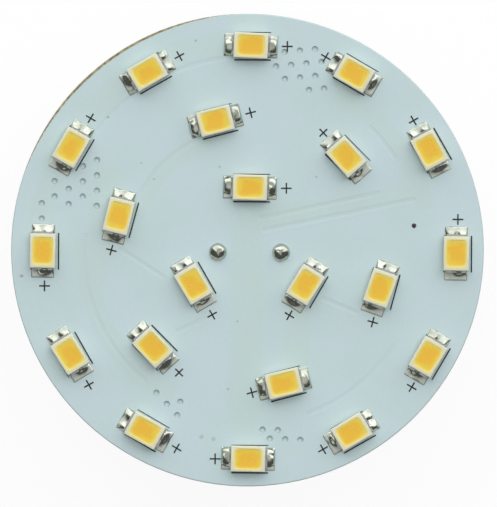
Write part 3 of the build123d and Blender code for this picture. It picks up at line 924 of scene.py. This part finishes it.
def winding_finish(driver):
    """Enamelled copper wire laid turn by turn round the core, with painted shade in the grooves between
    turns.
    """
    net = Finish("Copper winding")
    grain = net.grain(10.0, 1.5)
    phase = net.times(net.part(net.place, "Z"), 2 * math.pi * MM / driver.wire)
    wave = net.plus(net.times(net.math("SINE", phase), 0.5), 0.5)
    # Painted shade: the wire turns dark brown in the grooves between turns, where the wave is low.
    skin = net.blend(net.fade(wave, 0.0, 0.6), srgb(70, 32, 18), driver.copper)
    skin = net.tint(skin, grain["Cloud"], 0.3, 176, 100, 56)
    rough = net.spread(grain["Cloud"], 0.25, 0.38)
    return net.made(skin, rough, wave, 0.04 * MM, Metallic=0.6, Coat_Weight=0.5)


def capacitor_finish(driver):
    """Sintered ceramic with faint clouding and small specks."""
    net = Finish("Capacitor ceramic")
    grain = net.grain(14.0, 0.9)
    skin = net.tint(driver.capacitor, grain["Cloud"], 0.6, 158, 124, 88)
    skin = net.tint(skin, grain["Grain"], 0.25, 196, 166, 130)
    return net.made(skin, net.spread(grain["Cloud"], 0.4, 0.55), grain["Grain"], 0.006 * MM)


def resistor_finish(driver):
    """White ceramic body with a smoother dark glaze over its face."""
    net = Finish("Glazed resistor")
    grain = net.grain(14.0, 1.2)
    glazed = net.fade_out(net.facing(), -0.9, -0.6)
    glaze = net.tint(driver.glaze, grain["Cloud"], 0.4, 48, 50, 54)
    ceramic = net.tint(driver.ceramic, grain["Grain"], 0.4, 200, 198, 190)
    rough = net.minus(net.spread(grain["Cloud"], 0.5, 0.6), net.times(glazed, 0.22))
    return net.made(net.blend(glazed, ceramic, glaze), rough, grain["Grain"], 0.005 * MM)


MADE = {}


def finish_of(build, group):
    """A material, made from the settings of a group the first time that it is asked for."""
    if build not in MADE:
        MADE[build] = build(look(group))
    return MADE[build]


def rounded_plate(name, half_length, half_width, corner, level, segments):
    """A flat face with rounded corners at a height, in edit mode and selected."""
    plate = add_shape(name, bpy.ops.mesh.primitive_plane_add, (0.0, 0.0, level),
                      (half_length, half_width, 1.0), size=2.0)
    bpy.ops.mesh.bevel(offset=corner, segments=segments, affect="VERTICES", clamp_overlap=True)
    bpy.ops.mesh.select_all(action="SELECT")
    return plate


def raise_plate(rise):
    """Extrudes the selected plate straight up or down into a closed block."""
    bpy.ops.mesh.extrude_region_move(TRANSFORM_OT_translate={"value": (0.0, 0.0, rise)})


def thicken(plate, rise):
    """Makes a block of a whole flat plate in edit mode."""
    bpy.ops.mesh.select_all(action="SELECT")
    raise_plate(rise)
    face_outwards(plate)
    return plate


def map_window(piece, half_length, half_width):
    """A UV map, the piece's only one, that runs from 0 to 1 over an LED's window."""
    layers = piece.data.uv_layers
    while layers:
        layers.remove(layers[0])
    layer = layers.new(name="window")
    for loop in piece.data.loops:
        point = piece.data.vertices[loop.vertex_index].co
        layer.data[loop.index].uv = (point.x / (2 * half_length) + 0.5, point.y / (2 * half_width) + 0.5)


def model_window_block(name, led, place, top_level):
    """The reflector's inner shape as a block: narrow at the floor, wide at the rim."""
    node = f"{place['name']}_phosphor"
    low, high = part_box(node)
    floor = local_reach(node, place, min)
    rim = local_reach(node, place, max)
    block = rounded_plate(name, *floor, led.window_corner, low[2], segments=6)
    raise_plate(high[2] - low[2])
    widen = (rim[0] / floor[0], rim[1] / floor[1], 1.0)
    bpy.ops.transform.resize(value=widen, center_override=(0.0, 0.0, high[2]))
    if top_level > high[2]:
        raise_plate(top_level - high[2])
    return block, rim


def model_phosphor(led, place):
    """One resin fill: the window's shape with a top that sinks a little towards the middle."""
    fill, rim = model_window_block("phosphor_pattern", led, place, 0.0)
    reach = rim
    for inset, dip in RESIN_STEPS:
        inner = (rim[0] - inset * MM, rim[1] - inset * MM)
        raise_plate(0.0)
        bpy.ops.transform.resize(value=(inner[0] / reach[0], inner[1] / reach[1], 1.0),
                                 center_override=ORIGIN)
        bpy.ops.transform.translate(value=(0.0, 0.0, -dip * led.resin_dip))
        reach = inner
    face_outwards(fill)
    smooth(fill, degrees=50.0)
    map_window(fill, *rim)
    return fill


def model_cup(led, place):
    """One moulded cup: a drafted block with rounded edges and the reflector's window cut into it."""
    node = f"{place['name']}_cup"
    low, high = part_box(node)
    half = (*local_reach(node, place), (high[2] - low[2]) / 2)
    cup = add_shape("cup_pattern", bpy.ops.mesh.primitive_cube_add, (0.0, 0.0, (low[2] + high[2]) / 2),
                    half, size=2.0)
    choose(cup, "FACE", lambda face: face.normal.z > 0.9)
    bpy.ops.transform.resize(value=CUP_DRAFT, center_override=(0.0, 0.0, high[2]))
    bpy.ops.mesh.select_all(action="SELECT")
    bpy.ops.mesh.bevel(offset=led.edge_round, segments=3, affect="EDGES", clamp_overlap=True)
    cutter, rim = model_window_block("cup_cutter", led, place, high[2] + CUTTER_RISE)
    face_outwards(cutter)
    apply_modifier(cup, "BOOLEAN", operation="DIFFERENCE", object=cutter, solver="EXACT")
    discard(cutter)
    smooth(cup, degrees=35.0)
    map_window(cup, *rim)
    return cup


def model_film(solder, base):
    """The film of solder on one pad, as a fine grid from which mounds are pulled up.

    X runs outwards from the LED and the foot lies at the base level.
    """
    film = add_shape("film_pattern", bpy.ops.mesh.primitive_grid_add,
                     (solder.pad_reach / 2, 0.0, base + solder.film),
                     (solder.pad_reach, solder.pad_width, 1.0), size=1.0, **FILM_GRID)
    raise_plate(-solder.film)
    bpy.ops.mesh.dissolve_faces()
    bpy.ops.transform.edge_crease(value=1.0)
    face_outwards(film)
    return film


def stretch_along(factor):
    """Stretches the shown points of the piece in edit mode along Y."""
    bpy.ops.mesh.select_all(action="SELECT")
    bpy.ops.transform.resize(value=(1.0, factor, 1.0), center_override=ORIGIN)


def pull_up(piece, across, along, rise, spread, falloff, breadth=1.0):
    """Pulls up the shown point nearest to a place, and those round it.

    The mound is breadth times as wide along the LED's end as away from it.
    """
    stretch_along(1.0 / breadth)
    along = along / breadth
    bpy.ops.mesh.select_all(action="DESELECT")
    mesh = bmesh.from_edit_mesh(piece.data)
    shown = [point for point in mesh.verts if not point.hide]
    nearest = min(shown, key=lambda point: (point.co.x - across) ** 2 + (point.co.y - along) ** 2)
    nearest.select_set(True)
    bmesh.update_edit_mesh(piece.data)
    bpy.ops.transform.translate(value=(0.0, 0.0, rise), use_proportional_edit=True,
                                proportional_edit_falloff=falloff, proportional_size=spread)
    stretch_along(breadth)


def heap_solder(joint, solder, base, full, draw):
    """Pulls one or two mounds up from a film, each joint in its own way.

    Full joints, near 1, have two pointed mounds against the LED, and lean ones, near 0, have one broad
    mound. Those between have one round mound.
    """
    edit(joint)
    film_top = base + solder.film
    reach, width, rise, spread = solder.pad_reach, solder.pad_width, solder.rise, solder.spread
    choose(joint, "VERT", lambda point: point.co.z < film_top - solder.film / 2)
    bpy.ops.mesh.hide(unselected=False)
    if full > TWO_MOUNDS_FROM:
        for side in PAIR_SIDES:
            along = (side + draw.uniform(*PAIR_WANDER)) * width
            size = spread * draw.uniform(*PAIR_SIZE)
            pull_up(joint, 0.0, along, rise * draw.uniform(*PAIR_RISE), size, "LINEAR", PAIR_BREADTH)
    elif full < LEAN_UNTIL:
        size = spread * draw.uniform(*LEAN_SIZE)
        along = draw.uniform(*LEAN_ALONG) * width
        pull_up(joint, draw.uniform(*LEAN_ACROSS) * reach, along, rise, size, "SMOOTH", LEAN_BREADTH)
    else:
        size = spread * (ROUND_LEAST + (1.0 - ROUND_LEAST) * full) * draw.uniform(*ROUND_SIZE)
        across = (ROUND_ACROSS + ROUND_FULLER * full + draw.uniform(*ROUND_WANDER)) * reach
        along = draw.uniform(*ROUND_ALONG) * width
        pull_up(joint, across, along, rise * draw.uniform(*ROUND_RISE), size, "SPHERE")
    for _ in range(LUMPS):
        pull_up(joint, draw.uniform(*LUMP_ACROSS) * reach, draw.uniform(*LUMP_ALONG) * width,
                rise * draw.uniform(*LUMP_RISE), spread * draw.uniform(*LUMP_SIZE), "SMOOTH")
    choose(joint, "VERT", lambda point: point.co.x > reach * EDGE_ACROSS
           or abs(point.co.y) > width * EDGE_ALONG)
    bpy.ops.transform.resize(value=(1.0, 1.0, EDGE_HEIGHT), center_override=(0.0, 0.0, film_top))
    bpy.ops.transform.translate(value=(0.0, 0.0, -solder.film * EDGE_DROP))
    bpy.ops.mesh.reveal(select=False)
    done()


def model_dome(middle, radius, height, lump, seed):
    """One uneven dome of solder with its foot at a place."""
    dome = add_shape("dome", bpy.ops.mesh.primitive_uv_sphere_add, radius=radius, **DOME_MESH)
    bpy.ops.mesh.bisect(plane_co=ORIGIN, plane_no=UP, use_fill=True, clear_inner=True, threshold=1e-7)
    bpy.ops.mesh.select_all(action="SELECT")
    bpy.ops.transform.resize(value=(1.0, 1.0, height / radius), center_override=ORIGIN)
    edit(dome)
    choose(dome, "VERT", lambda point: point.co.z > DOME_FOOT)
    bpy.ops.transform.vertex_random(offset=lump, uniform=1.0, normal=0.0, seed=seed)
    edit(dome)
    choose(dome, "EDGE", lambda edge: max(point.co.z for point in edge.verts) < 2 * SAME_LEVEL)
    bpy.ops.transform.edge_crease(value=1.0)
    apply_modifier(dome, "SUBSURF", levels=2, render_levels=2)
    dome.scale = (2 * radius / dome.dimensions.x, 2 * radius / dome.dimensions.y, 1.0)
    dome.location = middle
    return dome


def ink_bar(name, length_along, stroke, level, rise):
    """One printed stroke with rounded ends."""
    bar = rounded_plate(name, length_along / 2, stroke / 2, stroke * LINE_CORNER, level, segments=3)
    return thicken(bar, rise)


def ink_plus(name, size, stroke, level, rise):
    """One printed plus mark: a square whose four sides are drawn out into arms."""
    plus = add_shape(name, bpy.ops.mesh.primitive_plane_add, (0.0, 0.0, level), size=stroke)
    for x, y in ((1, 0), (0, 1), (-1, 0), (0, -1)):
        side = Vector((x, y, 0))
        root = side * stroke / 2 + UP * level
        choose(plus, "EDGE", lambda edge: (
            (edge.verts[0].co + edge.verts[1].co) / 2 - root).length < stroke / 20)
        bpy.ops.mesh.extrude_edges_move(TRANSFORM_OT_translate={"value": side * (size - stroke) / 2})
    return thicken(plus, rise)


def ink_frame(name, low, high, margin, stroke, level, rise):
    """A printed frame round a driver part."""
    middle = ((low[0] + high[0]) / 2, (low[1] + high[1]) / 2, level)
    scale = (high[0] - low[0] + 2 * margin, high[1] - low[1] + 2 * margin, 1.0)
    border = add_shape(name, bpy.ops.mesh.primitive_plane_add, middle, scale, size=1.0)
    bpy.ops.mesh.inset(thickness=stroke, depth=0.0)
    bpy.ops.mesh.delete(type="FACE")
    return thicken(border, rise)


class DISCLAMP_OT_board(bpy.types.Operator):
    """Give the board its solder mask, copper relief and bare laminate edge"""

    bl_idname = "disclamp.board"
    bl_label = "Board"

    def execute(self, context):
        paint_nodes(finish_of(solder_mask_finish, "lamp_board"), "board")
        return {"FINISHED"}


class DISCLAMP_OT_leds(bpy.types.Operator):
    """Model the LED cups and their phosphor fills, once each, and copy them to every LED"""

    bl_idname = "disclamp.leds"
    bl_label = "LEDs"

    def execute(self, context):
        led = look("lamp_leds")
        places = led_places()
        patterns = (
            (model_cup(led, places[0]), "cup", "white_led_plastic", led_plastic_finish),
            (model_phosphor(led, places[0]), "phosphor", "phosphor_resin", phosphor_finish),
        )
        for pattern, part, slot, build in patterns:
            material = finish_of(build, "lamp_leds")
            for place in places:
                piece = copy_of(pattern, f"{place['name']}_{part}_detail")
                piece.matrix_world = seated(place)
                settle(piece)
                finish_piece(piece, material, slot, f"{place['name']}_{part}")
            discard(pattern)
        paint_nodes(finish_of(tin_finish, "lamp_driver"), "led_terminals")
        return {"FINISHED"}


class DISCLAMP_OT_led_solder(bpy.types.Operator):
    """Model the solder joints at both ends of every LED, each with its own lumps"""

    bl_idname = "disclamp.led_solder"
    bl_label = "LED solder"

    def execute(self, context):
        solder = look("lamp_solder")
        places = led_places()
        half_length, _ = local_reach(f"{places[0]['name']}_cup", places[0])
        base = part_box("led_solder")[0][2]
        film = model_film(solder, base)
        joints = []
        for place in places:
            for turn in (0.0, math.pi):
                joint = copy_of(film, f"joint_{len(joints) + 1:02d}")
                full = 0.5 + 0.5 * math.sin(place["turn"] + turn)
                heap_solder(joint, solder, base, full, random.Random(solder.seed + len(joints)))
                apply_modifier(joint, "SUBSURF", levels=1, render_levels=1)
                spot = Matrix.Rotation(turn, 4, "Z") @ Matrix.Translation((half_length, 0.0, 0.0))
                joint.matrix_world = seated(place) @ spot
                joints.append(joint)
        discard(film)
        beads = join_as(joints, "led_solder_joints")
        smooth(beads, degrees=80.0)
        finish_piece(beads, finish_of(solder_finish, "lamp_solder"), "solder", "led_solder")
        return {"FINISHED"}


class DISCLAMP_OT_pins(bpy.types.Operator):
    """Finish the plug pins and model the solder domes over their ends"""

    bl_idname = "disclamp.pins"
    bl_label = "Pins"

    def execute(self, context):
        solder = look("lamp_solder")
        paint_nodes(finish_of(pin_finish, "lamp_driver"), "pin_left", "pin_right")
        low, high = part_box("pin_solder")
        radius = (high[1] - low[1]) / 2
        domes = []
        for side in ("pin_left", "pin_right"):
            pin_low, pin_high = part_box(side)
            middle = ((pin_low[0] + pin_high[0]) / 2, (pin_low[1] + pin_high[1]) / 2, low[2])
            seed = solder.seed + DOME_SEED + len(domes)
            domes.append(model_dome(middle, radius, high[2] - low[2], solder.lump, seed))
        piece = join_as(domes, "pin_solder_domes")
        face_outwards(piece)
        smooth(piece, degrees=60.0)
        finish_piece(piece, finish_of(solder_finish, "lamp_solder"), "solder", "pin_solder")
        return {"FINISHED"}


class DISCLAMP_OT_front_print(bpy.types.Operator):
    """Print two lines and a plus mark at every LED"""

    bl_idname = "disclamp.front_print"
    bl_label = "Front print"

    def execute(self, context):
        marks = look("lamp_print")
        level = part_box("board")[1][2]
        bar = ink_bar("bar_pattern", marks.side_line, marks.stroke, level, marks.thick)
        faint_bar = ink_bar("faint_bar_pattern", marks.side_line, marks.faint_stroke, level, marks.thick)
        plus = ink_plus("plus_pattern", marks.plus_size, marks.plus_stroke, level, marks.thick)
        shift = Matrix.Translation((marks.shift_x, marks.shift_y, 0.0))
        printed = []
        for place in led_places():
            base = shift @ Matrix.Translation(place["middle"]) @ Matrix.Rotation(place["tangent"], 4, "Z")
            spots = [(plus, (place["plus"] * marks.plus_place, 0.0, 0.0))]
            for side in (Vector((0, 1, 0)), Vector((0, -1, 0))):
                # Lines on the faint side are thin; the others keep the full stroke, which is partly painted
                # shade beside the LEDs.
                thin = (base.to_3x3() @ side).dot(FAINT_SIDE) > 0
                spots.append((faint_bar if thin else bar, side * marks.side_gap / 2))
            for pattern, spot in spots:
                stroke = copy_of(pattern, f"stroke_{len(printed) + 1:02d}")
                stroke.matrix_world = base @ Matrix.Translation(spot)
                printed.append(stroke)
        for pattern in (bar, faint_bar, plus):
            discard(pattern)
        piece = join_as(printed, "front_print")
        finish_piece(piece, finish_of(ink_finish, "lamp_print"), "white_solder_mask")
        return {"FINISHED"}


class DISCLAMP_OT_driver(bpy.types.Operator):
    """Finish the driver parts on the back and print a frame round each but the sense resistors"""

    bl_idname = "disclamp.driver"
    bl_label = "Driver"

    def execute(self, context):
        moulded = ("bridge_rectifier", "driver_chip", "flyback_diode")
        capacitors = ("input_capacitor", "output_capacitor")
        finishes = (
            (moulding_finish, moulded),
            (tin_finish, ("driver_leads", "inductor_terminals", "chip_end_caps")),
            (ferrite_finish, ("inductor_core",)),
            (winding_finish, ("inductor_winding",)),
            (capacitor_finish, capacitors),
            (resistor_finish, ("sense_resistors",)),
        )
        for build, names in finishes:
            paint_nodes(finish_of(build, "lamp_driver"), *names)
        paint_nodes(finish_of(solder_finish, "lamp_solder"), "driver_solder")
        marks = look("lamp_print")
        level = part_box("board")[0][2]
        borders = []
        for name in (*moulded, "inductor_core", *capacitors):
            low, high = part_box(name)
            borders.append(ink_frame(f"frame_{name}", low, high, marks.frame_margin, marks.stroke,
                                     level, -marks.thick))
        piece = join_as(borders, "back_print")
        finish_piece(piece, finish_of(ink_finish, "lamp_print"), "white_solder_mask")
        return {"FINISHED"}


def set_floor(stage):
    """A wide pale floor under the pin tips, near white to the camera and clear from below."""
    start_clean()
    bpy.ops.mesh.primitive_circle_add(vertices=64, radius=FLOOR_RADIUS, fill_type="NGON",
                                      location=(0.0, 0.0, CAD_BOX[0][2]))
    floor = named("floor")
    settle(floor)
    material = bpy.data.materials.new("pale_floor")
    material.use_nodes = True
    net = Net(material.node_tree)
    net.tree.nodes.clear()
    mottle = net.noise(net.add("ShaderNodeTexCoord").outputs["Object"], 9.0)
    paint = net.tint(stage.floor, mottle, 1.0, 246, 247, 247)
    matt = net.add("ShaderNodeBsdfDiffuse", {"Color": paint}).outputs[0]
    white = net.add("ShaderNodeEmission", {"Color": (1.0, 1.0, 1.0), "Strength": 1.0}).outputs[0]
    path = net.add("ShaderNodeLightPath").outputs
    seen = net.strongest(path["Is Camera Ray"], path["Is Glossy Ray"], path["Is Transmission Ray"])
    lifted = net.times(seen, 1.0 - stage.shade)
    upper = net.add("ShaderNodeMixShader", {0: lifted, 1: matt, 2: white}).outputs[0]
    clear = net.add("ShaderNodeBsdfTransparent").outputs[0]
    below = net.add("ShaderNodeNewGeometry").outputs["Backfacing"]
    whole = net.add("ShaderNodeMixShader", {0: below, 1: upper, 2: clear}).outputs[0]
    net.add("ShaderNodeOutputMaterial", {"Surface": whole})
    floor.data.materials.append(material)


def set_world(scene, stage):
    """A dim studio with a wide window and a pale horizon for light, and white to the camera itself."""
    scene.world = bpy.data.worlds.new("studio")
    scene.world.use_nodes = True
    net = Net(scene.world.node_tree)
    net.tree.nodes.clear()
    where = net.add("ShaderNodeTexCoord").outputs["Generated"]
    height = net.part(where, "Z")
    level = net.vector("NORMALIZE", net.stretch(where, (1.0, 1.0, 0.0)))
    heading = (math.sin(stage.window_heading), math.cos(stage.window_heading), 0.0)
    cosine = net.vector("DOT_PRODUCT", level, heading)
    sides = [math.cos(stage.window_half) + edge for edge in WINDOW_SIDES]
    window = net.times(
        net.fade(cosine, *sides), net.fade_out(height, *WINDOW_TOP), net.fade(height, *WINDOW_SILL),
    )
    ceiling = net.fade(height, *CEILING, stage.dim, stage.ceiling)
    studio = net.spread(window, ceiling, stage.window)
    seen = net.spread(net.fade(height, *HORIZON), stage.horizon, studio)
    path = net.add("ShaderNodeLightPath").outputs
    seen = net.spread(path["Is Camera Ray"], seen, 1.0)
    light = net.add("ShaderNodeBackground", {"Color": (1.0, 1.0, 1.0), "Strength": seen})
    net.add("ShaderNodeOutputWorld", {"Surface": light.outputs[0]})


def set_light(stage):
    """A soft square light that points at the lamp and doesn't show in its solder."""
    start_clean()
    turn = (-Vector(LIGHT_PLACE)).to_track_quat("-Z", "Y").to_euler()
    bpy.ops.object.light_add(type="AREA", location=LIGHT_PLACE, rotation=turn)
    light = named("top_light")
    light.data.shape = "RECTANGLE"
    light.data.size = light.data.size_y = LIGHT_SIZE
    light.data.energy = stage.top_light
    light.visible_glossy = False


def set_camera(scene, stage):
    """A long lens straight above the board."""
    start_clean()
    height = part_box("board")[1][2] + stage.lens / SENSOR * stage.view_height
    bpy.ops.object.camera_add(location=(*CAMERA_SHIFT, height), rotation=(0.0, 0.0, stage.roll))
    scene.camera = named("camera")
    camera = scene.camera.data
    camera.lens = stage.lens
    camera.sensor_fit = "AUTO"
    camera.sensor_width = SENSOR
    camera.clip_start = 0.005
    camera.clip_end = 20.0


class DISCLAMP_OT_stage(bpy.types.Operator):
    """Set the pale floor, the soft studio light and the camera"""

    bl_idname = "disclamp.stage"
    bl_label = "Stage"

    def execute(self, context):
        stage = look("lamp_stage")
        set_floor(stage)
        set_world(context.scene, stage)
        set_light(stage)
        set_camera(context.scene, stage)
        context.scene.view_settings.view_transform = "Standard"
        return {"FINISHED"}


class DISCLAMP_PT_panel(bpy.types.Panel):
    """Lists the lamp's pieces and their settings"""

    bl_idname = "DISCLAMP_PT_panel"
    bl_label = "LED disc lamp"
    bl_space_type = "VIEW_3D"
    bl_region_type = "UI"
    bl_category = "Disc lamp"

    def draw(self, context):
        for group, steps in PANEL_ROWS:
            box = self.layout.box()
            settings = getattr(context.scene, group)
            for step in steps:
                box.operator(step.bl_idname)
            for name in settings.__annotations__:
                box.prop(settings, name)


PANEL_ROWS = (
    ("lamp_board", (DISCLAMP_OT_board,)),
    ("lamp_leds", (DISCLAMP_OT_leds,)),
    ("lamp_solder", (DISCLAMP_OT_led_solder, DISCLAMP_OT_pins)),
    ("lamp_print", (DISCLAMP_OT_front_print,)),
    ("lamp_driver", (DISCLAMP_OT_driver,)),
    ("lamp_stage", (DISCLAMP_OT_stage,)),
)

LOOKS = {
    "lamp_board": BoardLook,
    "lamp_leds": LedLook,
    "lamp_solder": SolderLook,
    "lamp_print": PrintLook,
    "lamp_driver": DriverLook,
    "lamp_stage": StageLook,
}

OPERATORS = tuple(step for _, steps in PANEL_ROWS for step in steps)


def register():
    """Registers the settings, operators and panel."""
    for name, group in LOOKS.items():
        bpy.utils.register_class(group)
        setattr(bpy.types.Scene, name, PointerProperty(type=group))
    for step in OPERATORS:
        bpy.utils.register_class(step)
    bpy.utils.register_class(DISCLAMP_PT_panel)


def unregister():
    """Takes them out again."""
    bpy.utils.unregister_class(DISCLAMP_PT_panel)
    for step in reversed(OPERATORS):
        bpy.utils.unregister_class(step)
    for name, group in reversed(LOOKS.items()):
        delattr(bpy.types.Scene, name)
        bpy.utils.unregister_class(group)


def main():
    """Builds every piece and the stage."""
    register()
    bpy.ops.disclamp.board()
    bpy.ops.disclamp.leds()
    bpy.ops.disclamp.led_solder()
    bpy.ops.disclamp.pins()
    bpy.ops.disclamp.front_print()
    bpy.ops.disclamp.driver()
    bpy.ops.disclamp.stage()
    start_clean()


if __name__ == "__main__":
    main()
